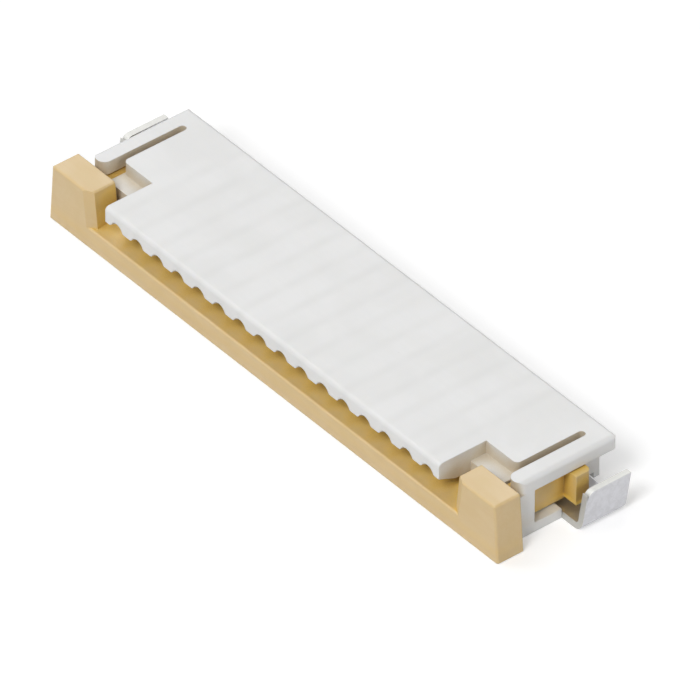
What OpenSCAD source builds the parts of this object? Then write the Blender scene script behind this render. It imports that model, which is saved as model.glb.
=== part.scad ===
// Right-angle connector for a flat flexible circuit, surface mounted, with a
// slider that locks the film. The connector lies along X, the film goes in
// along +Y, and Z is up from the board that it is soldered to.

/* [Contacts] */
// Number of contacts in the row
positions = 16; // [6:1:30]
// Distance between neighbouring contacts
pitch = 1.00; // [0.80:0.05:1.50]
// Thickness of the sheet that the contacts are stamped from
contact_t = 0.20; // [0.15:0.01:0.25]
// Height of the contact's two beams where they leave its root
beam_h = 0.20; // [0.15:0.01:0.22]
// How far the contact point hangs below the ceiling of the film slot
point_drop = 0.14; // [0.05:0.01:0.20]
// How far the solder tails stand out behind the housing
tail_out = 0.90; // [0.50:0.05:1.50]
// Thickness of the solder tails
tail_t = 0.18; // [0.12:0.01:0.24]

/* [Film] */
// Thickness of the film that the connector takes
film_t = 0.30; // [0.20:0.01:0.40]
// Height that the film slot has beyond the film
film_play = 0.06; // [0.03:0.01:0.10]
// Gap at each side of the film in its slot
film_side_gap = 0.05; // [0.02:0.01:0.10]

/* [Housing] */
// Depth of the housing from the lip to its back
housing_d = 5.10; // [4.90:0.05:6.00]
// Thickness of the floor below the slider's tongue
floor_t = 0.35; // [0.30:0.01:0.45]
// Thickness of the roof at the sides
roof_t = 0.50; // [0.35:0.05:0.70]
// Material between the film slot and the top of the roof
cover_t = 0.85; // [0.75:0.05:1.20]
// Width of the lip outside the last contacts
lip_margin = 0.55; // [0.40:0.05:0.70]
// Thickness of the lip at its front
lip_t = 0.57; // [0.45:0.01:0.70]
// Depth of the slope under the lip that guides the film in
lip_slope_d = 0.65; // [0.40:0.05:0.90]
// Width of the arches in the lip
arch_w = 0.58; // [0.36:0.02:0.62]
// Height of the arches above the lip's lower edge
arch_h = 0.22; // [0.16:0.01:0.28]
// Depth of the arches in the lip
arch_d = 0.90; // [0.50:0.05:1.20]
// Radius of the teeth between the arches
tooth_r = 0.10; // [0.04:0.01:0.12]
// Depth of the notches beside the lip
notch_d = 1.85; // [1.60:0.05:2.20]
// Width of the side wall between the film slot and the slider's arm
core_wall = 0.93; // [0.70:0.01:1.20]
// Width of the slot between the roof and each rail
rail_gap = 0.25; // [0.15:0.01:0.32]
// Distance from the slot's end to the back of the housing
rail_root = 0.70; // [0.40:0.05:1.00]
// Thickness of the posts that hold the arms back
post_t = 0.27; // [0.20:0.01:0.60]
// Depth of the posts
post_d = 0.61; // [0.40:0.01:0.90]
// Length of the open side below each rail, in front of the nail
window_d = 1.06; // [0.80:0.02:1.30]
// Size of the sloped foot behind each post
gusset = 0.06; // [0.05:0.01:0.30]
// Radius of the housing's upright corners
corner_r = 0.18; // [0.05:0.01:0.22]
// Radius of the housing's long upper edges
edge_r = 0.15; // [0.04:0.01:0.18]

/* [Slider] */
// Depth of the slider's front bar
bar_d = 0.95; // [0.70:0.05:1.10]
// Height of the bar's upright front
bar_h = 0.75; // [0.60:0.01:0.85]
// Thickness of the tongue that presses the film up
tongue_t = 0.50; // [0.40:0.01:0.60]
// Length of the tongue behind the bar
tongue_d = 2.00; // [1.60:0.05:2.20]
// Depth of the end blocks
block_d = 1.00; // [0.80:0.05:1.10]
// Gap behind the end blocks when the slider is closed
block_gap = 0.25; // [0.10:0.01:0.40]
// How far the end blocks stand out from the housing at their top
block_out = 0.34; // [0.20:0.01:0.60]
// How much wider the blocks are at their foot, on the outside
block_draft = 0.17; // [0.00:0.01:0.25]
// Free width beside the film between the blocks, at the bar
guide_gap = 0.02; // [0.00:0.01:0.30]
// How much the blocks open towards their top, on the inside
guide_draft = 0.25; // [0.05:0.01:0.35]
// Width of the chamfer that leads the film in between the blocks
guide_lead_w = 0.34; // [0.10:0.01:0.40]
// Depth of the same chamfer
guide_lead_d = 0.18; // [0.05:0.01:0.30]
// Radius of the slider's outer edges
slider_r = 0.08; // [0.03:0.01:0.12]
// Thickness of the arms
arm_t = 0.48; // [0.25:0.01:0.55]
// Gap between the slider and the housing that it runs in
run_gap = 0.05; // [0.03:0.01:0.08]
// How far the hooks stand out from the arms
hook_out = 0.58; // [0.32:0.01:0.62]
// Length of the hooks
hook_d = 0.60; // [0.45:0.01:0.95]
// How far the slider pulls out
travel = 1.40; // [0.80:0.05:1.50]

/* [Nails] */
// Thickness of the sheet that the fitting nails are bent from
nail_t = 0.22; // [0.15:0.01:0.26]
// How far the nails' plates stand out from the housing
nail_out = 0.93; // [0.75:0.01:1.20]
// Height of the nails' plates
nail_h = 1.36; // [0.90:0.02:1.60]
// Width of the nails
nail_d = 1.70; // [1.20:0.05:1.90]
// How much the plates lean back
nail_lean = 0.24; // [0.00:0.01:0.30]
// Radius of the plates' upper front corner
nail_r = 0.30; // [0.05:0.01:0.40]

/* [Hidden] */
$fn = 48;
// Overlap that lets a cut or a union pass through a face
e = 0.01;
// Opening between a contact and the sides of its cavity
contact_gap = 0.05;
// Gap under the slider's bar, so that it clears the board
board_gap = 0.02;
// Distance from the end of the film slot to the contacts' roots
root_gap = 0.20;
// How far the contacts' roots stay inside the back of the housing
root_in = 0.10;
// Distance from the front of the floor to the contacts' lower beams
beam_in = 0.40;
// Radius on the inside of the nails' bends
nail_bend = 0.11;
// Radius of the hooks' back corners
hook_r = 0.18;
// Height and length of the barb that holds a contact in its cavity
barb = 0.05;
barb_d = 0.15;
// Clearance of a nail in its pocket
nail_fit = 0.02;

// Heights, up from the board
tongue_z = floor_t + run_gap;
tongue_top = tongue_z + tongue_t;
film_top = tongue_top + film_t;
ceiling = film_top + film_play;
housing_h = ceiling + cover_t;
roof_z = housing_h - roof_t;
lip_z = housing_h - lip_t;
arch_r = (arch_w * arch_w / 4 + arch_h * arch_h) / (2 * arch_h);
arch_z = lip_z + arch_h - arch_r;
beam_top = lip_z + arch_h - contact_gap;
arm_top = roof_z - run_gap;
hook_z = floor_t + gusset + run_gap;
leg_top = roof_z - nail_t;

// Distances from the middle, along X
row_half = (positions - 1) / 2 * pitch;
film_half = row_half + pitch;
lip_half = row_half + lip_margin;
slot_half = film_half + film_side_gap;
core_half = slot_half + core_wall;
arm_in = core_half + run_gap;
arm_out = arm_in + arm_t;
post_in = arm_out + run_gap;
side_half = post_in + post_t;
rail_in = core_half + rail_gap;
block_in = slot_half + guide_gap;
block_top = side_half + block_out;
bar_half = block_in + guide_draft + guide_lead_w;
plate_out = side_half + nail_out;
nail_in = (slot_half + core_half - nail_t) / 2;

// Distances from the lip, along Y
depth = housing_d + tail_out;
floor_y = bar_d + run_gap;
side_y = block_d + block_gap;
window_y = side_y + post_d;
nail_y = window_y + window_d;
slot_end = housing_d - rail_root;
tongue_end = bar_d + tongue_d;
film_end = tongue_end + run_gap;
beam_y = floor_y + beam_in;
root_y = film_end + root_gap;
root_end = housing_d - root_in;
hook_y = window_y + travel;

// Half of the width between two teeth of the lip, at their lower edge
tooth_x = sqrt(arch_h * (2 * (arch_r + tooth_r) - arch_h)) - e / 2;

// Cavity of a contact
cavity_w = contact_t + 2 * contact_gap;
groove_z = floor_t - beam_h;

function contact_name(i) = str("contact_", i < 10 ? "0" : "", i);
function contact_x(i) = (i - 1) * pitch - row_half;

// Puts what is drawn from the lip at its place over the footprint's middle
module placed() {
    translate([0, -depth / 2, 0]) children();
}

// Draws a shape and its mirror image at the other end
module both_ends() {
    children();
    mirror([1, 0, 0]) children();
}

// Box between two corners
module box(from, to) {
    translate(from) cube(to - from);
}

// Solid with the outline (y, z) between two places along X
module along_x(x0, x1) {
    translate([x0, 0, 0])
        rotate([90, 0, 90])
            linear_extrude(x1 - x0) children();
}

// Solid with the outline (x, z) between two places along Y
module along_y(y0, y1) {
    translate([0, y1, 0])
        rotate([90, 0, 0])
            linear_extrude(y1 - y0) children();
}

// Rectangle between two corners with all of its corners rounded
module round_rect(from, to, r) {
    size = to - from;
    translate(from + [r, 0]) square(size - [2 * r, 0]);
    translate(from + [0, r]) square(size - [0, 2 * r]);
    for (x = [from[0] + r, to[0] - r], y = [from[1] + r, to[1] - r])
        translate([x, y]) circle(r);
}

// Corner that is cut away to leave a quarter round of radius r, in the
// quadrant with both coordinates positive and the sharp corner at the origin
module corner_cut(r) {
    difference() {
        translate([-e, -e]) square(r + e);
        translate([r, r]) circle(r);
    }
}

// ---- housing ----

// Plan of the roof at one end: main plate, rail and the strip behind both
module roof_plan() {
    difference() {
        union() {
            translate([-e, 0]) square([lip_half + e, notch_d + e]);
            translate([-e, notch_d])
                square([core_half + e, housing_d - notch_d]);
            rail_plan();
        }
        translate([lip_half, 0]) mirror([1, 0]) corner_cut(corner_r);
        translate([core_half, notch_d]) mirror([1, 0]) corner_cut(corner_r);
        translate([side_half, housing_d])
            mirror([1, 0]) mirror([0, 1]) corner_cut(corner_r);
    }
}

// Rail beside the slot, with a round nose, joined to the roof at the back
module rail_plan() {
    nose = (side_half - rail_in) / 2;
    translate([rail_in + nose, side_y + nose]) circle(nose);
    translate([rail_in, side_y + nose])
        square([side_half - rail_in, housing_d - side_y - nose]);
    difference() {
        translate([core_half - e, slot_end - rail_gap / 2])
            square([rail_gap + 2 * e, rail_root + rail_gap / 2]);
        translate([core_half + rail_gap / 2, slot_end - rail_gap / 2])
            circle(rail_gap / 2);
    }
}

// Side view of the lip, with the slope that guides the film under it
module lip_outline() {
    polygon([
        [0, lip_z], [lip_slope_d, ceiling], [side_y + e, ceiling],
        [side_y + e, housing_h], [0, housing_h]
    ]);
}

// What rounds the long upper edges: front of the lip, back and both sides
module upper_edge_cuts() {
    along_x(-lip_half - e, lip_half + e)
        translate([0, housing_h]) mirror([0, 1]) corner_cut(edge_r);
    along_x(-side_half - e, side_half + e)
        translate([housing_d, housing_h])
            mirror([1, 0]) mirror([0, 1]) corner_cut(edge_r);
    both_ends()
        along_y(side_y - e, housing_d + e)
            translate([side_half, housing_h])
                mirror([1, 0]) mirror([0, 1]) corner_cut(edge_r);
}

// Side wall at one end, up to the underside of its rail: a post that the
// arm passes inside, and a bar that closes the wall at the foot
module side_wall() {
    box([post_in, side_y, 0], [side_half, window_y, roof_z + e]);
    box([core_half - e, side_y, 0], [side_half, nail_y, floor_t]);
    along_x(post_in, side_half)
        polygon([
            [window_y - e, floor_t - e],
            [window_y + gusset, floor_t - e],
            [window_y - e, floor_t + gusset]
        ]);
}

// Outline (x, z) of an arch, down to the board, with the rounded corners of
// the teeth at its sides
module arch_outline() {
    difference() {
        polygon([
            [0, arch_z],
            [tooth_x, lip_z + tooth_r], [tooth_x, 0],
            [-tooth_x, 0], [-tooth_x, lip_z + tooth_r]
        ]);
        for (x = [-tooth_x, tooth_x])
            translate([x, lip_z + tooth_r]) circle(tooth_r);
    }
    translate([0, arch_z]) circle(arch_r);
}

// Space in which one contact lies: an arch through the lip, a groove over
// the film, a groove in the floor, and a chamber open to the back
module contact_cavity() {
    w = cavity_w / 2;
    tail_y0 = root_end - tail_t - contact_gap;
    along_y(-e, arch_d) arch_outline();
    box([-w, arch_d - e, ceiling - e], [w, root_y + e, beam_top]);
    box([-w, beam_y, groove_z], [w, root_y + e, floor_t + e]);
    box([-w, root_y, groove_z], [w, housing_d + e, beam_top]);
    box([-w, tail_y0, -e], [w, housing_d + e, groove_z + e]);
}

// Pocket of one nail: a slit for its inner leg and a step for its foot
module nail_pocket() {
    y0 = nail_y - nail_fit;
    y1 = nail_y + nail_d + nail_lean + nail_fit;
    box([nail_in - nail_fit, y0, -e], [core_half + e, y1, nail_t]);
    box(
        [nail_in, y0, 0],
        [nail_in + nail_t + nail_bend, y1, nail_t + nail_bend]
    );
    box(
        [nail_in - nail_fit, y0, 0],
        [nail_in + nail_t + nail_fit, y1, leg_top]
    );
}

module housing() {
    color("whitesmoke") placed() difference() {
        union() {
            both_ends() translate([0, 0, roof_z])
                linear_extrude(roof_t) roof_plan();
            along_x(-lip_half, lip_half) lip_outline();
            box([-core_half, side_y, 0], [core_half, housing_d, roof_z + e]);
            box(
                [-slot_half, floor_y, 0],
                [slot_half, side_y + e, floor_t]
            );
            both_ends() side_wall();
        }
        box(
            [-slot_half, floor_y - e, floor_t],
            [slot_half, film_end, ceiling]
        );
        for (i = [1 : positions])
            translate([contact_x(i), 0, 0]) contact_cavity();
        both_ends() nail_pocket();
        upper_edge_cuts();
    }
}

// ---- slider ----

// Side view of the bar with the hollow slope that lifts the film's edge
module bar_outline() {
    scoop_d = bar_d - corner_r / 2 - slider_r;
    rise = tongue_top - bar_h;
    scoop_r = (scoop_d * scoop_d + rise * rise) / (2 * rise);
    difference() {
        translate([0, board_gap]) square([bar_d, tongue_top - board_gap]);
        translate([slider_r, bar_h + scoop_r]) circle(scoop_r, $fn = 180);
        translate([-e, bar_h]) square([slider_r + e, scoop_r]);
        translate([0, bar_h]) mirror([0, 1]) corner_cut(slider_r);
    }
}

// Side view of the tongue, from inside the bar to its chamfered tip
module tongue_outline() {
    tip = tongue_t / 4;
    root = bar_d - corner_r / 4;
    polygon([
        [root, tongue_z], [root, tongue_top],
        [tongue_end - tip, tongue_top], [tongue_end, tongue_top - tip],
        [tongue_end, tongue_z + tip], [tongue_end - tip, tongue_z]
    ]);
}

// Outline (x, z) of an end block: wider at its foot on both sides, with the
// upper corners rounded
module block_outline() {
    block_h = housing_h - board_gap;
    top_in = block_in + guide_draft;
    lean_in = atan(guide_draft / block_h);
    lean_out = atan(block_draft / block_h);
    // From each upper corner to where its rounding meets the sides
    cut_in = slider_r / tan(45 + lean_in / 2);
    cut_out = slider_r / tan(45 + lean_out / 2);
    polygon([
        [block_in, board_gap],
        [block_top + block_draft, board_gap],
        [
            block_top + cut_out * sin(lean_out),
            housing_h - cut_out * cos(lean_out)
        ],
        [block_top - cut_out, housing_h],
        [top_in + cut_in, housing_h],
        [top_in - cut_in * sin(lean_in), housing_h - cut_in * cos(lean_in)]
    ]);
    translate([block_top - cut_out, housing_h - slider_r]) circle(slider_r);
    translate([top_in + cut_in, housing_h - slider_r]) circle(slider_r);
}

// End block, with a chamfer on the inner upright edge that leads the film in
module end_block() {
    block_h = housing_h - board_gap;
    difference() {
        along_y(0, block_d) block_outline();
        translate([block_in + guide_draft, 0, housing_h])
            rotate([0, atan(guide_draft / block_h), 0])
                translate([0, 0, -2 * block_h])
                    linear_extrude(3 * block_h) lead_cut();
        translate([block_top, 0, housing_h])
            rotate([0, -atan(block_draft / block_h), 0])
                translate([0, 0, -2 * block_h])
                    linear_extrude(3 * block_h)
                        mirror([1, 0]) corner_cut(slider_r);
        along_x(block_in - guide_draft, block_top + 2 * block_draft + e)
            translate([0, housing_h]) mirror([0, 1]) corner_cut(slider_r);
    }
}

// Plan of what the film's chamfer takes off a block
module lead_cut() {
    x_more = e * guide_lead_w / guide_lead_d;
    y_more = e * guide_lead_d / guide_lead_w;
    polygon([
        [-e, -e], [guide_lead_w + x_more, -e], [-e, guide_lead_d + y_more]
    ]);
}

// Arm along the side of the core
module arm_plan() {
    translate([arm_in, block_d - corner_r])
        square([arm_t, hook_y + hook_d - block_d + corner_r]);
}

// Hook that meets the post when the slider is pulled out
module hook_plan() {
    hook_end = hook_y + hook_d;
    hook_x = arm_out + hook_out;
    difference() {
        translate([arm_in, hook_y]) square([hook_x - arm_in, hook_d]);
        translate([hook_x, hook_end])
            mirror([1, 0]) mirror([0, 1]) corner_cut(hook_r);
    }
}

module slider() {
    color("burlywood") placed() {
        along_x(-bar_half, bar_half) bar_outline();
        along_x(-film_half, film_half) tongue_outline();
        both_ends() {
            end_block();
            translate([0, 0, tongue_z])
                linear_extrude(arm_top - tongue_z) arm_plan();
            translate([0, 0, hook_z])
                linear_extrude(arm_top - hook_z) hook_plan();
        }
    }
}

// ---- fitting nails ----

// Section of the bent sheet: inner leg, foot and upright plate
module nail_section() {
    inner_r = nail_bend;
    outer_r = nail_bend + nail_t;
    difference() {
        union() {
            round_rect([nail_in, 0], [plate_out, nail_h + outer_r], outer_r);
            translate([nail_in, outer_r])
                square([outer_r, leg_top - outer_r]);
        }
        round_rect(
            [nail_in + nail_t, nail_t],
            [plate_out - nail_t, nail_h + 2 * outer_r],
            inner_r
        );
        translate([nail_in - e, leg_top])
            square([plate_out - nail_in - nail_t, nail_h + outer_r]);
        translate([nail_in - e, nail_h])
            square([plate_out - nail_in + 2 * e, 2 * outer_r]);
    }
}

// Side view of the blank, which leans back towards its top
module nail_outline() {
    difference() {
        polygon([
            [nail_y, 0], [nail_y + nail_d, 0],
            [nail_y + nail_d + nail_lean, nail_h],
            [nail_y + nail_lean, nail_h]
        ]);
        translate([nail_y + nail_lean, nail_h])
            mirror([0, 1]) corner_cut(nail_r);
    }
}

module nail() {
    intersection() {
        along_y(nail_y, nail_y + nail_d + nail_lean) nail_section();
        along_x(nail_in - e, plate_out + e) nail_outline();
    }
}

module fitting_nail_right() {
    color("silver") placed() nail();
}

module fitting_nail_left() {
    color("silver") placed() mirror([1, 0, 0]) nail();
}

// ---- contacts ----

// Stamped outline (y, z): two beams from one root, and a tail to the board
module contact_outline() {
    point_r = beam_h / 2;
    point_z = ceiling - point_drop + point_r;
    point_y = (side_y + film_end) / 2;
    beam_z = beam_top - beam_h;
    // Root, with a barb on top, and the upper beam down to its point
    polygon([
        [root_end, groove_z], [root_end, beam_top - barb],
        [root_y + 2 * barb_d, beam_top - barb],
        [root_y + barb_d, beam_top],
        [root_y, beam_top],
        [root_y - barb_d, beam_top - barb],
        [point_y, point_z + point_r],
        [point_y, point_z],
        [root_y, beam_z - barb],
        [root_y + barb, groove_z]
    ]);
    translate([point_y, point_z]) circle(point_r);
    // Lower beam, flush with the floor of the film slot
    round_rect([beam_y + barb, groove_z], [root_end, floor_t], beam_h / 4);
    // Tail: down behind the root and out over its solder pad
    round_rect(
        [root_end - tail_t, 0], [housing_d + tail_out, tail_t], tail_t / 4
    );
    translate([root_end - tail_t, tail_t / 2])
        square([tail_t, groove_z + barb]);
}

module contact(i) {
    color("lightgray") placed()
        along_x(contact_x(i) - contact_t / 2, contact_x(i) + contact_t / 2)
            contact_outline();
}

housing();
slider();
fitting_nail_left();
fitting_nail_right();
for (i = [1 : positions])
    contact(i);
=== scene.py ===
import math

import bpy
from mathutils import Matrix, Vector


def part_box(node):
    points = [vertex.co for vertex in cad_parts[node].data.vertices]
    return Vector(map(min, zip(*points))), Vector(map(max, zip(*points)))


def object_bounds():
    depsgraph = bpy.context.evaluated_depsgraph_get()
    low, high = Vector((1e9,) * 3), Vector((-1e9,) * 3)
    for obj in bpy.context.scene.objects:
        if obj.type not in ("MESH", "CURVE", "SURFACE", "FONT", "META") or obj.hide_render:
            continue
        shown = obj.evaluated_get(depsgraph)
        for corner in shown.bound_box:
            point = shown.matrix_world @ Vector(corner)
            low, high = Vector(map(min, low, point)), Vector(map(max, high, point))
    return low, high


bl_info = {
    "name": "Film connector finish",
    "version": (1, 0, 0),
    "blender": (4, 5, 0),
    "location": "View3D > Sidebar > Connector",
    "description": "Plastic and metal finishes for the film connector, and its stage",
    "category": "Object",
}

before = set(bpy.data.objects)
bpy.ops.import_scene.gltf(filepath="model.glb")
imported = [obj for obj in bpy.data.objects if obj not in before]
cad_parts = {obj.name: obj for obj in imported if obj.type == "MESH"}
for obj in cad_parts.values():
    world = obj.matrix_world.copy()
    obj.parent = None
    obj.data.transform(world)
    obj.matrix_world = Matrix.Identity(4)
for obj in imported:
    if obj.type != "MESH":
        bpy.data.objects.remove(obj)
CAD_LOW, CAD_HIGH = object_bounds()
CONTACTS = sorted(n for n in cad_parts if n.startswith("contact_"))
NAILS = sorted(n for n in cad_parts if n.startswith("fitting_nail_"))

MM = 0.001

# Gap that keeps the floor clear of the faces that stand on it
FLOOR_GAP = 0.002 * MM


def node_middle(name):
    """Middle of a node's box, in metres."""
    low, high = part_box(name)
    return (low + high) / 2


# Places of the contact row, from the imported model
FIRST_X = node_middle(CONTACTS[0]).x
LAST_X = node_middle(CONTACTS[-1]).x
PITCH = (LAST_X - FIRST_X) / (len(CONTACTS) - 1)


# ---- sizes and colours that a user would change ----


def millimetres(name, description, default):
    """A size in metres, given in millimetres."""
    return bpy.props.FloatProperty(
        name=name, description=description, default=default * MM,
        subtype="DISTANCE", unit="LENGTH", precision=6,
    )


def colour(name, description, default):
    """A colour, as linear red, green and blue."""
    return bpy.props.FloatVectorProperty(
        name=name, description=description, default=default,
        subtype="COLOR", size=3, min=0.0, max=1.0,
    )


def share(name, description, default):
    """A number from 0 to 1."""
    return bpy.props.FloatProperty(
        name=name, description=description, default=default,
        subtype="FACTOR", min=0.0, max=1.0,
    )


def level(name, description, default):
    """A strength of light."""
    return bpy.props.FloatProperty(
        name=name, description=description, default=default, min=0.0, soft_max=10.0,
    )


def ratio(name, description, default):
    """A plain number of one or more."""
    return bpy.props.FloatProperty(
        name=name, description=description, default=default, min=1.0, soft_max=3.0,
    )


def angle(name, description, default):
    """An angle, given in degrees."""
    return bpy.props.FloatProperty(
        name=name, description=description, default=math.radians(default),
        subtype="ANGLE", unit="ROTATION",
    )


class FPC_PG_housing(bpy.types.PropertyGroup):
    """Finish of the housing's white plastic."""

    body: colour("Body", "Colour of the plastic in open light", (0.765, 0.765, 0.76))
    cloud: colour("Clouds", "Colour of the slow variation in the plastic", (0.745, 0.745, 0.735))
    # Both colours below are painted shade in corners and slots, browned like light bounced off the
    # tan slider, darker in the deepest corners
    crease_shade: colour("Crease shade", "Colour in corners and slots", (0.62, 0.55, 0.42))
    deep_shade: colour("Deep shade", "Colour in the deepest corners", (0.58, 0.51, 0.40))
    speck: colour("Specks", "Colour of the small specks in the plastic", (0.55, 0.53, 0.48))
    streak: colour("Streaks", "Colour of the flow lines", (0.725, 0.725, 0.72))
    roughness: share("Roughness", "Roughness of the moulded skin", 0.40)
    grain: millimetres("Grain", "Size of the fine texture of the mould", 0.035)
    grain_depth: millimetres("Grain depth", "Depth of that texture", 0.0010)
    cloud_size: millimetres("Cloud size", "Size of the slow variation", 2.4)
    edge: millimetres("Edge", "Radius to which the sharp edges are shaded", 0.04)
    depth: share("Depth", "Share of light that passes under the skin", 0.08)
    reach: millimetres("Reach", "How far that light spreads", 0.25)
    specks: share("Amount of specks", "How much of the specks shows", 0.3)
    lines: share("Amount of flow lines", "How much of the flow lines shows", 0.25)
    index: ratio("Index of refraction", "Index of refraction of the plastic", 1.55)


class FPC_PG_slider(bpy.types.PropertyGroup):
    """Finish of the slider's tan plastic."""

    body: colour("Body", "Colour of the plastic in open light", (0.65, 0.48, 0.24))
    cloud: colour("Clouds", "Colour of the slow variation in the plastic", (0.63, 0.46, 0.215))
    # Both colours below are painted shade: golden like light bounced inside the tan plastic in
    # corners and under the lip, and darker in the deepest corners
    crease_shade: colour("Crease shade", "Colour in corners and slots", (0.87, 0.56, 0.035))
    deep_shade: colour("Deep shade", "Colour in the deepest corners", (0.50, 0.30, 0.07))
    speck: colour("Specks", "Colour of the small specks in the plastic", (0.44, 0.30, 0.14))
    streak: colour("Streaks", "Colour of the flow lines", (0.625, 0.44, 0.20))
    roughness: share("Roughness", "Roughness of the moulded skin", 0.36)
    grain: millimetres("Grain", "Size of the fine texture of the mould", 0.035)
    grain_depth: millimetres("Grain depth", "Depth of that texture", 0.0012)
    cloud_size: millimetres("Cloud size", "Size of the slow variation", 1.4)
    edge: millimetres("Edge", "Radius to which the sharp edges are shaded", 0.04)
    depth: share("Depth", "Share of light that passes under the skin", 0.20)
    reach: millimetres("Reach", "How far that light spreads", 0.25)
    specks: share("Amount of specks", "How much of the specks shows", 0.5)
    lines: share("Amount of flow lines", "How much of the flow lines shows", 0.5)
    index: ratio("Index of refraction", "Index of refraction of the plastic", 1.70)


class FPC_PG_tin(bpy.types.PropertyGroup):
    """Finish of the stamped and tinned pieces."""

    bright: colour("Bright", "Colour of clean tin", (0.58, 0.58, 0.605))
    dull: colour("Dull", "Colour of dull patches in the tin", (0.53, 0.53, 0.55))
    sheared: colour("Sheared", "Colour of the sheared edges", (0.56, 0.56, 0.54))
    roughness: share("Roughness", "Roughness of the tinned face", 0.42)
    grain: millimetres("Grain", "Distance between the marks of rolling", 0.02)
    grain_depth: millimetres("Grain depth", "Depth of those marks", 0.0003)
    patch: millimetres("Patches", "Size of the patches in the tin", 0.22)
    edge: millimetres("Edge", "Radius to which the stamped edges are shaded", 0.015)


class FPC_PG_stage(bpy.types.PropertyGroup):
    """Floor, lamps, world and camera."""

    floor_size: bpy.props.FloatProperty(
        name="Floor", description="Width of the floor", default=1.2,
        subtype="DISTANCE", unit="LENGTH",
    )
    floor_colour: colour("Floor colour", "Colour of the floor", (0.82, 0.82, 0.82))
    floor_glow: level("Floor glow", "What lifts the seen floor to white", 0.30)
    azimuth: angle("Azimuth", "Where the camera stands round the connector", 50.9)
    elevation: angle("Elevation", "How high the camera stands", 38.8)
    distance: bpy.props.FloatProperty(
        name="Distance", description="From the camera to what it looks at",
        default=0.54, subtype="DISTANCE", unit="LENGTH",
    )
    lens: bpy.props.FloatProperty(
        name="Lens", description="Focal length of the camera", default=914.2,
        unit="CAMERA",
    )
    aim: bpy.props.FloatVectorProperty(
        name="Aim", description="What the camera looks at, from the middle of the connector",
        default=(0.946 * MM, -0.664 * MM, -0.135 * MM), size=3,
        subtype="TRANSLATION", unit="LENGTH", precision=6,
    )
    ambient: level("Ambient", "Strength of the light from all round", 0.08)
    front: level("Front lamp", "Radiance of the main lamp in front", 12.0)
    right: level("Right lamp", "Radiance of the lamp on the right", 3.9)
    left: level("Left lamp", "Radiance of the near lamp on the left", 1.1)
    over: level("Overhead lamp", "Radiance of the lamp above the left end", 2.7)
    back: level("Back lamp", "Radiance of the panel behind", 1.9)


# ---- shader node groups ----

# Between these lie most values of a noise
NOISE_LOW = 0.35
NOISE_HIGH = 0.65


def vector_math(tree, operation, first):
    """Vector math node with its first input linked; returns the node."""
    node = tree.nodes.new("ShaderNodeVectorMath")
    node.operation = operation
    tree.links.new(first, node.inputs[0])
    return node


def math_node(tree, operation, first, second=None):
    """Math node between outputs or numbers; returns its output."""
    node = tree.nodes.new("ShaderNodeMath")
    node.operation = operation
    for socket, value in zip(node.inputs, (first, second)):
        if isinstance(value, bpy.types.NodeSocket):
            tree.links.new(value, socket)
        elif value is not None:
            socket.default_value = value
    return node.outputs[0]


def varied(tree, start, *changes):
    """A number to which each mask adds its amount; returns its output."""
    value = start
    for mask, amount in changes:
        value = math_node(tree, "ADD", value, math_node(tree, "MULTIPLY", mask, amount))
    return value


def map_range(tree, value, low, high, new_low=0.0, new_high=1.0, smooth=True):
    """Value from between low and high to between two new numbers."""
    node = tree.nodes.new("ShaderNodeMapRange")
    node.interpolation_type = "SMOOTHSTEP" if smooth else "LINEAR"
    tree.links.new(value, node.inputs["Value"])
    for key, number in (
        ("From Min", low), ("From Max", high), ("To Min", new_low), ("To Max", new_high),
    ):
        if isinstance(number, bpy.types.NodeSocket):
            tree.links.new(number, node.inputs[key])
        else:
            node.inputs[key].default_value = number
    return node.outputs["Result"]


# Sockets of a Mix node that mixes colours
MIX_FACTOR = 0
MIX_FIRST = 6
MIX_SECOND = 7
MIX_RESULT = 2


def mix_colour(tree, factor, first, second):
    """Mix by an output of two colours or outputs; returns its output."""
    node = tree.nodes.new("ShaderNodeMix")
    node.data_type = "RGBA"
    tree.links.new(factor, node.inputs[MIX_FACTOR])
    for place, value in ((MIX_FIRST, first), (MIX_SECOND, second)):
        if isinstance(value, bpy.types.NodeSocket):
            tree.links.new(value, node.inputs[place])
        else:
            node.inputs[place].default_value = (*value, 1.0)
    return node.outputs[MIX_RESULT]


def surface_place(tree, stretch=(1.0, 1.0, 1.0)):
    """Place on the surface in millimetres, stretched along each axis."""
    place = tree.nodes.new("ShaderNodeTexCoord")
    scale = vector_math(tree, "MULTIPLY", place.outputs["Object"])
    scale.inputs[1].default_value = [s / MM for s in stretch]
    return scale.outputs[0]


def noise(tree, place, scale, detail, roughness, distortion=0.0):
    """Noise at a scale given by a number or an output; returns its value."""
    node = tree.nodes.new("ShaderNodeTexNoise")
    tree.links.new(place, node.inputs["Vector"])
    if isinstance(scale, bpy.types.NodeSocket):
        tree.links.new(scale, node.inputs["Scale"])
    else:
        node.inputs["Scale"].default_value = scale
    node.inputs["Detail"].default_value = detail
    node.inputs["Roughness"].default_value = roughness
    node.inputs["Distortion"].default_value = distortion
    return node.outputs["Fac"]


def new_group(name, inputs, outputs):
    """An empty shader group with named sockets; returns its tree, its input and its output node."""
    tree = bpy.data.node_groups.new(name, "ShaderNodeTree")
    for socket, default in inputs:
        made = tree.interface.new_socket(socket, in_out="INPUT", socket_type="NodeSocketFloat")
        made.default_value = default
    for socket, kind in outputs:
        tree.interface.new_socket(socket, in_out="OUTPUT", socket_type=kind)
    return tree, tree.nodes.new("NodeGroupInput"), tree.nodes.new("NodeGroupOutput")


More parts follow.
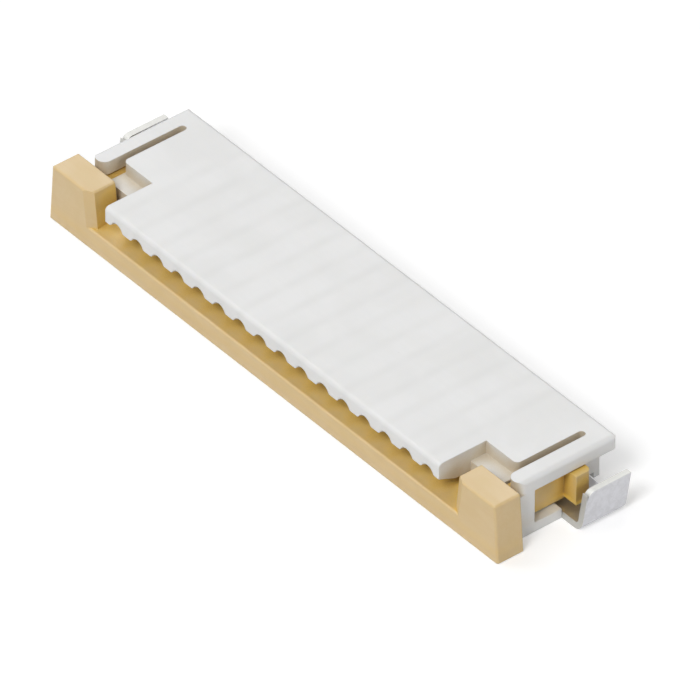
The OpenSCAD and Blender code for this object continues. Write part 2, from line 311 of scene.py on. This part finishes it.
def moulded_skin_group():
    """Fine spark-eroded texture of a mould, slow clouds in the plastic and rare specks."""
    fine_share = 0.65
    broad_scale_share = 0.22
    specks_per_mm = 2.2
    speck_core = 0.02
    speck_rim = 0.07
    bare_share = 0.80
    tree, inlet, outlet = new_group(
        "Moulded skin",
        [("Grain", 0.035), ("Cloud Size", 1.6), ("Specks", 0.5)],
        [("Height", "NodeSocketFloat"), ("Clouds", "NodeSocketFloat"), ("Specks", "NodeSocketFloat")],
    )
    place = surface_place(tree)
    fine_scale = math_node(tree, "DIVIDE", 1.0, inlet.outputs["Grain"])
    fine = noise(tree, place, fine_scale, detail=3.0, roughness=0.6)
    broad_scale = math_node(tree, "DIVIDE", broad_scale_share, inlet.outputs["Grain"])
    broad = noise(tree, place, broad_scale, detail=2.0, roughness=0.5)
    fine_part = math_node(tree, "MULTIPLY", fine, fine_share)
    broad_part = math_node(tree, "MULTIPLY", broad, 1.0 - fine_share)
    tree.links.new(math_node(tree, "ADD", fine_part, broad_part), outlet.inputs["Height"])

    cloud_scale = math_node(tree, "DIVIDE", 1.0, inlet.outputs["Cloud Size"])
    clouds = noise(tree, place, cloud_scale, detail=4.0, roughness=0.55, distortion=0.6)
    tree.links.new(map_range(tree, clouds, NOISE_LOW, NOISE_HIGH), outlet.inputs["Clouds"])

    dots = tree.nodes.new("ShaderNodeTexVoronoi")
    dots.feature = "F1"
    dots.inputs["Scale"].default_value = specks_per_mm
    tree.links.new(place, dots.inputs["Vector"])
    near = map_range(tree, dots.outputs["Distance"], speck_core, speck_rim, 1.0, 0.0)
    split = tree.nodes.new("ShaderNodeSeparateColor")
    tree.links.new(dots.outputs["Color"], split.inputs[0])
    rare = math_node(tree, "GREATER_THAN", split.outputs[0], bare_share)
    specks = math_node(tree, "MULTIPLY", near, rare)
    shown = math_node(tree, "MULTIPLY", specks, inlet.outputs["Specks"])
    tree.links.new(shown, outlet.inputs["Specks"])


def edges_group():
    """Masks of sharp edges, where a highlight is painted, and of creases, where shade is painted, and
    a normal that rounds the sharp edges. An edge is where the rounded normal leaves the flat one, by
    its cosine. Creases are where little of the open sky is left, and they fade towards the board."""
    edge_starts = 0.99
    edge_full = 0.80
    sky_starts = 0.88
    sky_full = 0.40
    clear_of_board = 0.7
    tree, inlet, outlet = new_group(
        "Edges and creases",
        [("Radius", 0.03 * MM), ("Reach", 0.5 * MM), ("Board Light", 0.2)],
        [("Edge", "NodeSocketFloat"), ("Crease", "NodeSocketFloat"), ("Normal", "NodeSocketVector")],
    )
    rounded = tree.nodes.new("ShaderNodeBevel")
    rounded.samples = 6
    tree.links.new(inlet.outputs["Radius"], rounded.inputs["Radius"])
    flat = tree.nodes.new("ShaderNodeNewGeometry")
    agree = vector_math(tree, "DOT_PRODUCT", rounded.outputs[0])
    tree.links.new(flat.outputs["Normal"], agree.inputs[1])
    edge = map_range(tree, agree.outputs["Value"], edge_starts, edge_full)
    tree.links.new(edge, outlet.inputs["Edge"])
    tree.links.new(rounded.outputs[0], outlet.inputs["Normal"])
    open_sky = tree.nodes.new("ShaderNodeAmbientOcclusion")
    open_sky.samples = 8
    tree.links.new(inlet.outputs["Reach"], open_sky.inputs["Distance"])
    crease_shade = map_range(tree, open_sky.outputs["AO"], sky_starts, sky_full)
    height = tree.nodes.new("ShaderNodeSeparateXYZ")
    tree.links.new(surface_place(tree), height.inputs[0])
    above = map_range(tree, height.outputs["Z"], inlet.outputs["Board Light"], clear_of_board)
    tree.links.new(math_node(tree, "MULTIPLY", crease_shade, above), outlet.inputs["Crease"])


def flow_group():
    """Long lines in the plastic, where it flowed along the mould."""
    stretch = 0.12
    line_starts = 0.32
    line_full = 0.68
    tree, inlet, outlet = new_group(
        "Flow lines",
        [("Spacing", 0.25), ("Contrast", 0.5)],
        [("Lines", "NodeSocketFloat")],
    )
    place = surface_place(tree, (stretch, 1.0, 1.0))
    scale = math_node(tree, "DIVIDE", 1.0, inlet.outputs["Spacing"])
    lines = noise(tree, place, scale, detail=3.0, roughness=0.6, distortion=0.8)
    drawn = map_range(tree, lines, line_starts, line_full)
    shown = math_node(tree, "MULTIPLY", drawn, inlet.outputs["Contrast"])
    tree.links.new(shown, outlet.inputs["Lines"])


def sink_group():
    """Mask of the shallow sinks in the roof over the contacts' cavities, of uneven strength, where
    shade is painted.
    """
    unevenness_per_mm = 0.9
    weak_starts = 0.3
    strong_full = 0.7
    weakest = 0.35
    tree, inlet, outlet = new_group(
        "Sinks over contacts",
        [("First", FIRST_X / MM), ("Pitch", PITCH / MM), ("Width", 0.30)],
        [("Sink", "NodeSocketFloat")],
    )
    place = surface_place(tree)
    split = tree.nodes.new("ShaderNodeSeparateXYZ")
    tree.links.new(place, split.inputs[0])
    from_first = math_node(tree, "SUBTRACT", split.outputs["X"], inlet.outputs["First"])
    turns = math_node(tree, "DIVIDE", from_first, inlet.outputs["Pitch"])
    near = math_node(tree, "ROUND", turns)
    away = math_node(tree, "ABSOLUTE", math_node(tree, "SUBTRACT", turns, near))
    width = math_node(tree, "DIVIDE", inlet.outputs["Width"], inlet.outputs["Pitch"])
    groove = map_range(tree, away, 0.0, width, 1.0, 0.0)
    middle = (FIRST_X + LAST_X) / 2 / MM
    half = (LAST_X - FIRST_X) / 2 / MM + PITCH / 2 / MM
    off = math_node(tree, "ABSOLUTE", math_node(tree, "SUBTRACT", split.outputs["X"], middle))
    inside = math_node(tree, "LESS_THAN", off, half)
    uneven = noise(tree, place, unevenness_per_mm, detail=2.0, roughness=0.5)
    strength = map_range(tree, uneven, weak_starts, strong_full, weakest, 1.0)
    over_row = math_node(tree, "MULTIPLY", groove, inside)
    tree.links.new(math_node(tree, "MULTIPLY", over_row, strength), outlet.inputs["Sink"])


def tin_group():
    """Marks of rolling, patches, pits and sheared faces of a tinned sheet. A face that turns
    to the side, or lies level in the foot, is rolled; the rest is sheared."""
    rolled_full = 0.75
    sheared_full = 0.45
    mark_stretch = 0.06
    pits_per_mm = 42.0
    mark_share = 0.6
    mark_starts = 0.25
    mark_full = 0.75
    tree, inlet, outlet = new_group(
        "Rolled tin",
        [("Grain", 0.02), ("Patch", 0.22), ("Foot", 0.45)],
        [
            ("Height", "NodeSocketFloat"), ("Patches", "NodeSocketFloat"),
            ("Marks", "NodeSocketFloat"), ("Sheared", "NodeSocketFloat"),
        ],
    )
    split = tree.nodes.new("ShaderNodeSeparateXYZ")
    turned = tree.nodes.new("ShaderNodeTexCoord")
    tree.links.new(turned.outputs["Normal"], split.inputs[0])
    across = math_node(tree, "ABSOLUTE", split.outputs["X"])
    upright = tree.nodes.new("ShaderNodeSeparateXYZ")
    tree.links.new(surface_place(tree), upright.inputs[0])
    foot = math_node(tree, "LESS_THAN", upright.outputs["Z"], inlet.outputs["Foot"])
    level_face = math_node(tree, "MULTIPLY", foot, math_node(tree, "ABSOLUTE", split.outputs["Z"]))
    rolled = math_node(tree, "MAXIMUM", across, level_face)
    sheared = map_range(tree, rolled, rolled_full, sheared_full)
    tree.links.new(sheared, outlet.inputs["Sheared"])
    along = surface_place(tree, (1.0, 1.0, mark_stretch))
    scale = math_node(tree, "DIVIDE", 1.0, inlet.outputs["Grain"])
    marks = noise(tree, along, scale, detail=2.0, roughness=0.6)
    tree.links.new(map_range(tree, marks, mark_starts, mark_full), outlet.inputs["Marks"])
    place = surface_place(tree)
    patch_scale = math_node(tree, "DIVIDE", 1.0, inlet.outputs["Patch"])
    patches = noise(tree, place, patch_scale, detail=4.0, roughness=0.65, distortion=0.5)
    tree.links.new(map_range(tree, patches, NOISE_LOW, NOISE_HIGH), outlet.inputs["Patches"])
    pits = noise(tree, place, pits_per_mm, detail=2.0, roughness=0.7)
    mark_part = math_node(tree, "MULTIPLY", marks, mark_share)
    pit_part = math_node(tree, "MULTIPLY", pits, 1.0 - mark_share)
    tree.links.new(math_node(tree, "ADD", mark_part, pit_part), outlet.inputs["Height"])


GROUP_MAKERS = {
    "Moulded skin": moulded_skin_group,
    "Edges and creases": edges_group,
    "Flow lines": flow_group,
    "Sinks over contacts": sink_group,
    "Rolled tin": tin_group,
}


def group(tree, name, **values):
    """A group in a material's tree, built the first time that it is asked for."""
    if name not in bpy.data.node_groups:
        GROUP_MAKERS[name]()
    node = tree.nodes.new("ShaderNodeGroup")
    node.node_tree = bpy.data.node_groups[name]
    for key, value in values.items():
        node.inputs[key.replace("_", " ")].default_value = value
    return node


# ---- materials ----


def empty_material(name):
    """A node material with a Principled shader; returns it, its tree and the shader."""
    material = bpy.data.materials.new(name)
    material.use_nodes = True
    tree = material.node_tree
    tree.nodes.clear()
    shader = tree.nodes.new("ShaderNodeBsdfPrincipled")
    output = tree.nodes.new("ShaderNodeOutputMaterial")
    tree.links.new(shader.outputs[0], output.inputs["Surface"])
    return material, tree, shader


def bump(tree, shader, height, depth, normal):
    """Bump of that depth, in metres, over that normal, into the shader's normal."""
    node = tree.nodes.new("ShaderNodeBump")
    node.inputs["Distance"].default_value = depth
    tree.links.new(height, node.inputs["Height"])
    tree.links.new(normal, node.inputs["Normal"])
    tree.links.new(node.outputs[0], shader.inputs["Normal"])


# How far round a point a crease is looked for, in plastic and in tin
PLASTIC_REACH = 1.0 * MM
TIN_REACH = 0.4 * MM

# Light under the skin spreads further in red than in green and blue
SPREAD = (1.0, 0.75, 0.45)

# Painted shade of the sinks: its tone against the clouds, and how much of it shows
SINK_SHADE_TONE = 0.955
SINK_SHADE_STRENGTH = 0.8

# Crease from which the deepest painted shade comes in
DEEP_SHADE_STARTS = 0.75

# A painted highlight makes the sharp edges this much paler than the body, up to the palest, and shows
# this much
EDGE_HIGHLIGHT_GAIN = 1.05
EDGE_HIGHLIGHT_LIFT = 0.01
PALEST = 0.86
EDGE_HIGHLIGHT_STRENGTH = 0.35

# How much of the painted shade in creases shows in tin
TIN_CREASE_SHADE = 0.6


def plastic(name, finish, sinks=False):
    """Moulded plastic: skin, clouds, flow lines, specks, a painted highlight on the edges, and
    painted shade in the creases and, when asked, over the sinks.
    """
    material, tree, shader = empty_material(name)
    skin = group(
        tree, "Moulded skin", Grain=finish.grain / MM,
        Cloud_Size=finish.cloud_size / MM, Specks=finish.specks,
    )
    rims = group(tree, "Edges and creases", Radius=finish.edge, Reach=PLASTIC_REACH)
    flow = group(tree, "Flow lines", Contrast=finish.lines)
    tone = mix_colour(tree, skin.outputs["Clouds"], finish.body, finish.cloud)
    tone = mix_colour(tree, flow.outputs["Lines"], tone, finish.streak)
    tone = mix_colour(tree, skin.outputs["Specks"], tone, finish.speck)
    if sinks:
        sink = group(tree, "Sinks over contacts")
        # Painted shade over the sinks in the roof
        shaded = [c * SINK_SHADE_TONE for c in finish.cloud]
        sink_shade = math_node(tree, "MULTIPLY", sink.outputs["Sink"], SINK_SHADE_STRENGTH)
        tone = mix_colour(tree, sink_shade, tone, shaded)
    # Painted shade in creases and corners where little open sky is left, darker still in the deepest
    # corners
    tone = mix_colour(tree, rims.outputs["Crease"], tone, finish.crease_shade)
    deep_shade = map_range(tree, rims.outputs["Crease"], DEEP_SHADE_STARTS, 1.0)
    tone = mix_colour(tree, deep_shade, tone, finish.deep_shade)
    # Painted highlight on the sharp edges
    pale = [min(PALEST, c * EDGE_HIGHLIGHT_GAIN + EDGE_HIGHLIGHT_LIFT) for c in finish.body]
    edge_highlight = math_node(tree, "MULTIPLY", rims.outputs["Edge"], EDGE_HIGHLIGHT_STRENGTH)
    tone = mix_colour(tree, edge_highlight, tone, pale)
    tree.links.new(tone, shader.inputs["Base Color"])
    clouding = 0.06
    polish = 0.08
    dulling = 0.35
    rough = varied(
        tree, finish.roughness - clouding / 2, (skin.outputs["Clouds"], clouding),
        (rims.outputs["Edge"], -polish), (rims.outputs["Crease"], dulling),
    )
    tree.links.new(rough, shader.inputs["Roughness"])
    bump(tree, shader, skin.outputs["Height"], finish.grain_depth, rims.outputs["Normal"])
    shader.inputs["IOR"].default_value = finish.index
    shader.inputs["Subsurface Weight"].default_value = finish.depth
    shader.inputs["Subsurface Radius"].default_value = SPREAD
    shader.inputs["Subsurface Scale"].default_value = finish.reach
    return material


def tin(name, finish, crease_shade, foot):
    """Tinned sheet: rolled face with patches, duller sheared edges and painted shade in the creases;
    level faces lower than foot, in millimetres, count as rolled."""
    material, tree, shader = empty_material(name)
    sheet = group(
        tree, "Rolled tin", Grain=finish.grain / MM, Patch=finish.patch / MM, Foot=foot,
    )
    rims = group(tree, "Edges and creases", Radius=finish.edge, Reach=TIN_REACH)
    tone = mix_colour(tree, sheet.outputs["Patches"], finish.bright, finish.dull)
    tone = mix_colour(tree, sheet.outputs["Sheared"], tone, finish.sheared)
    # Painted shade in the creases of the sheet
    shade = math_node(tree, "MULTIPLY", rims.outputs["Crease"], TIN_CREASE_SHADE)
    tone = mix_colour(tree, shade, tone, crease_shade)
    tree.links.new(tone, shader.inputs["Base Color"])
    texture = 0.06
    shearing = 0.25
    rough = varied(
        tree, finish.roughness - texture, (sheet.outputs["Patches"], texture),
        (sheet.outputs["Marks"], texture), (sheet.outputs["Sheared"], shearing),
    )
    tree.links.new(rough, shader.inputs["Roughness"])
    bump(tree, shader, sheet.outputs["Height"], finish.grain_depth, rims.outputs["Normal"])
    shader.inputs["Metallic"].default_value = 1.0
    return material


def dress(names, material):
    """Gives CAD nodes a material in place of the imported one."""
    for name in names:
        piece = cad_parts[name]
        for place in piece.material_slots:
            place.link = "OBJECT"
            place.material = material


# ---- operators ----


class FPC_OT_housing(bpy.types.Operator):
    """Gives the housing its white moulded plastic"""

    bl_idname = "fpc.housing"
    bl_label = "Housing"

    def execute(self, context):
        finish = context.scene.fpc_housing
        material = plastic("White moulded plastic", finish, sinks=True)
        dress(["housing"], material)
        return {"FINISHED"}


class FPC_OT_slider(bpy.types.Operator):
    """Gives the slider its tan moulded plastic"""

    bl_idname = "fpc.slider"
    bl_label = "Slider"

    def execute(self, context):
        finish = context.scene.fpc_slider
        material = plastic("Tan moulded plastic", finish)
        dress(["slider"], material)
        return {"FINISHED"}


class FPC_OT_nails(bpy.types.Operator):
    """Gives the fitting nails their tinned sheet"""

    bl_idname = "fpc.nails"
    bl_label = "Fitting nails"

    def execute(self, context):
        finish = context.scene.fpc_nails
        # The grey given here is painted shade for the creases of the nails
        dress(NAILS, tin("Tinned nail sheet", finish, crease_shade=(0.40, 0.39, 0.38), foot=0.45))
        return {"FINISHED"}


class FPC_OT_contacts(bpy.types.Operator):
    """Gives the contacts their tinned sheet"""

    bl_idname = "fpc.contacts"
    bl_label = "Contacts"

    def execute(self, context):
        finish = context.scene.fpc_contacts
        # The grey given here is painted shade for the creases of the contacts
        dress(CONTACTS, tin("Tinned contact sheet", finish, crease_shade=(0.36, 0.34, 0.31), foot=0.0))
        return {"FINISHED"}


def area_lamp(name, place, aim, size, radiance):
    """Square lamp that faces aim and gives that radiance, hidden from the camera."""
    light = bpy.data.lights.new(name, "AREA")
    light.shape = "SQUARE"
    light.size = size
    light.energy = radiance * math.pi * size * size
    lamp = bpy.data.objects.new(name, light)
    lamp.location = place
    lamp.rotation_mode = "QUATERNION"
    lamp.rotation_quaternion = (aim - place).to_track_quat("-Z", "Y")
    lamp.visible_camera = False
    bpy.context.scene.collection.objects.link(lamp)


def direction(azimuth, elevation):
    """Unit vector towards a place round the connector."""
    return Vector((
        math.sin(azimuth) * math.cos(elevation),
        -math.cos(azimuth) * math.cos(elevation),
        math.sin(elevation),
    ))


# Lamps: setting of the stage, azimuth and elevation in degrees, distance and
# width in metres
LAMPS = (
    ("front", 22, 47, 0.40, 0.16),
    ("right", 100, 30, 0.40, 0.16),
    ("left", -50, 35, 0.22, 0.10),
    ("over", -60, 65, 0.30, 0.16),
    ("back", 231, 39, 0.40, 0.20),
)


def seen_directly(tree):
    """1 for rays from the camera, from gloss and through glass, and 0 for the rest."""
    path = tree.nodes.new("ShaderNodeLightPath")
    near = math_node(tree, "MAXIMUM", path.outputs["Is Camera Ray"], path.outputs["Is Glossy Ray"])
    return math_node(tree, "MAXIMUM", near, path.outputs["Is Transmission Ray"])


def stage_world(strength):
    """White world for the eye, and plain light of that strength for the rest."""
    world = bpy.data.worlds.new("Studio")
    world.use_nodes = True
    tree = world.node_tree
    tree.nodes.clear()
    background = tree.nodes.new("ShaderNodeBackground")
    background.inputs["Color"].default_value = (1.0, 1.0, 1.0, 1.0)
    output = tree.nodes.new("ShaderNodeOutputWorld")
    seen = map_range(tree, seen_directly(tree), 0.0, 1.0, strength, 1.0, smooth=False)
    tree.links.new(seen, background.inputs["Strength"])
    tree.links.new(background.outputs[0], output.inputs["Surface"])
    bpy.context.scene.world = world


def floor_material(base, lift):
    """Pale floor that takes the shadow and meets the white behind it."""
    material = bpy.data.materials.new("Pale floor")
    material.use_nodes = True
    tree = material.node_tree
    tree.nodes.clear()
    matt = tree.nodes.new("ShaderNodeBsdfDiffuse")
    matt.inputs["Color"].default_value = (*base, 1.0)
    glow = tree.nodes.new("ShaderNodeEmission")
    seen = math_node(tree, "MULTIPLY", seen_directly(tree), lift)
    tree.links.new(seen, glow.inputs["Strength"])
    both = tree.nodes.new("ShaderNodeAddShader")
    output = tree.nodes.new("ShaderNodeOutputMaterial")
    tree.links.new(matt.outputs[0], both.inputs[0])
    tree.links.new(glow.outputs[0], both.inputs[1])
    tree.links.new(both.outputs[0], output.inputs["Surface"])
    return material


class FPC_OT_stage(bpy.types.Operator):
    """Makes the floor, the lamps, the world and the camera"""

    bl_idname = "fpc.stage"
    bl_label = "Stage"

    def execute(self, context):
        stage = context.scene.fpc_stage
        middle = (CAD_LOW + CAD_HIGH) / 2
        half = stage.floor_size / 2
        under = CAD_LOW.z - FLOOR_GAP
        corners = ((-half, -half), (half, -half), (half, half), (-half, half))
        mesh = bpy.data.meshes.new("floor")
        mesh.from_pydata([(x, y, under) for x, y in corners], [], [(0, 1, 2, 3)])
        floor = bpy.data.objects.new("floor", mesh)
        context.scene.collection.objects.link(floor)
        mesh.materials.append(floor_material(stage.floor_colour, stage.floor_glow))

        stage_world(stage.ambient)
        for name, azimuth, elevation, distance, size in LAMPS:
            way = direction(math.radians(azimuth), math.radians(elevation))
            place = middle + way * distance
            area_lamp(name + "_lamp", place, middle, size, getattr(stage, name))

        camera_data = bpy.data.cameras.new("camera")
        camera_data.lens = stage.lens
        camera_data.sensor_width = 36.0
        camera_data.clip_start = 0.01
        camera_data.clip_end = 10.0
        camera = bpy.data.objects.new("camera", camera_data)
        towards = direction(stage.azimuth, stage.elevation)
        camera.location = middle + Vector(stage.aim) + towards * stage.distance
        camera.rotation_mode = "QUATERNION"
        camera.rotation_quaternion = (-towards).to_track_quat("-Z", "Y")
        context.scene.collection.objects.link(camera)
        context.scene.camera = camera
        context.scene.view_settings.view_transform = "Standard"
        return {"FINISHED"}


OPERATORS = (FPC_OT_stage, FPC_OT_housing, FPC_OT_slider, FPC_OT_nails, FPC_OT_contacts)


class FPC_PT_panel(bpy.types.Panel):
    """Lists the connector's finishes and its stage"""

    bl_idname = "FPC_PT_panel"
    bl_label = "Film connector"
    bl_space_type = "VIEW_3D"
    bl_region_type = "UI"
    bl_category = "Connector"

    def draw(self, context):
        for operator in OPERATORS:
            self.layout.operator(operator.bl_idname)
        for name in SETTINGS:
            box = self.layout.box()
            settings = getattr(context.scene, name)
            for key in settings.__annotations__:
                box.prop(settings, key)


SETTINGS = {
    "fpc_stage": FPC_PG_stage,
    "fpc_housing": FPC_PG_housing,
    "fpc_slider": FPC_PG_slider,
    "fpc_nails": FPC_PG_tin,
    "fpc_contacts": FPC_PG_tin,
}
CLASSES = (FPC_PG_housing, FPC_PG_slider, FPC_PG_tin, FPC_PG_stage, *OPERATORS, FPC_PT_panel)


def register():
    for cls in CLASSES:
        bpy.utils.register_class(cls)
    for name, cls in SETTINGS.items():
        setattr(bpy.types.Scene, name, bpy.props.PointerProperty(type=cls))


def unregister():
    for name in SETTINGS:
        delattr(bpy.types.Scene, name)
    for cls in reversed(CLASSES):
        bpy.utils.unregister_class(cls)


def main():
    register()
    for operator in OPERATORS:
        getattr(bpy.ops.fpc, operator.bl_idname.split(".")[1])()


if __name__ == "__main__":
    main()
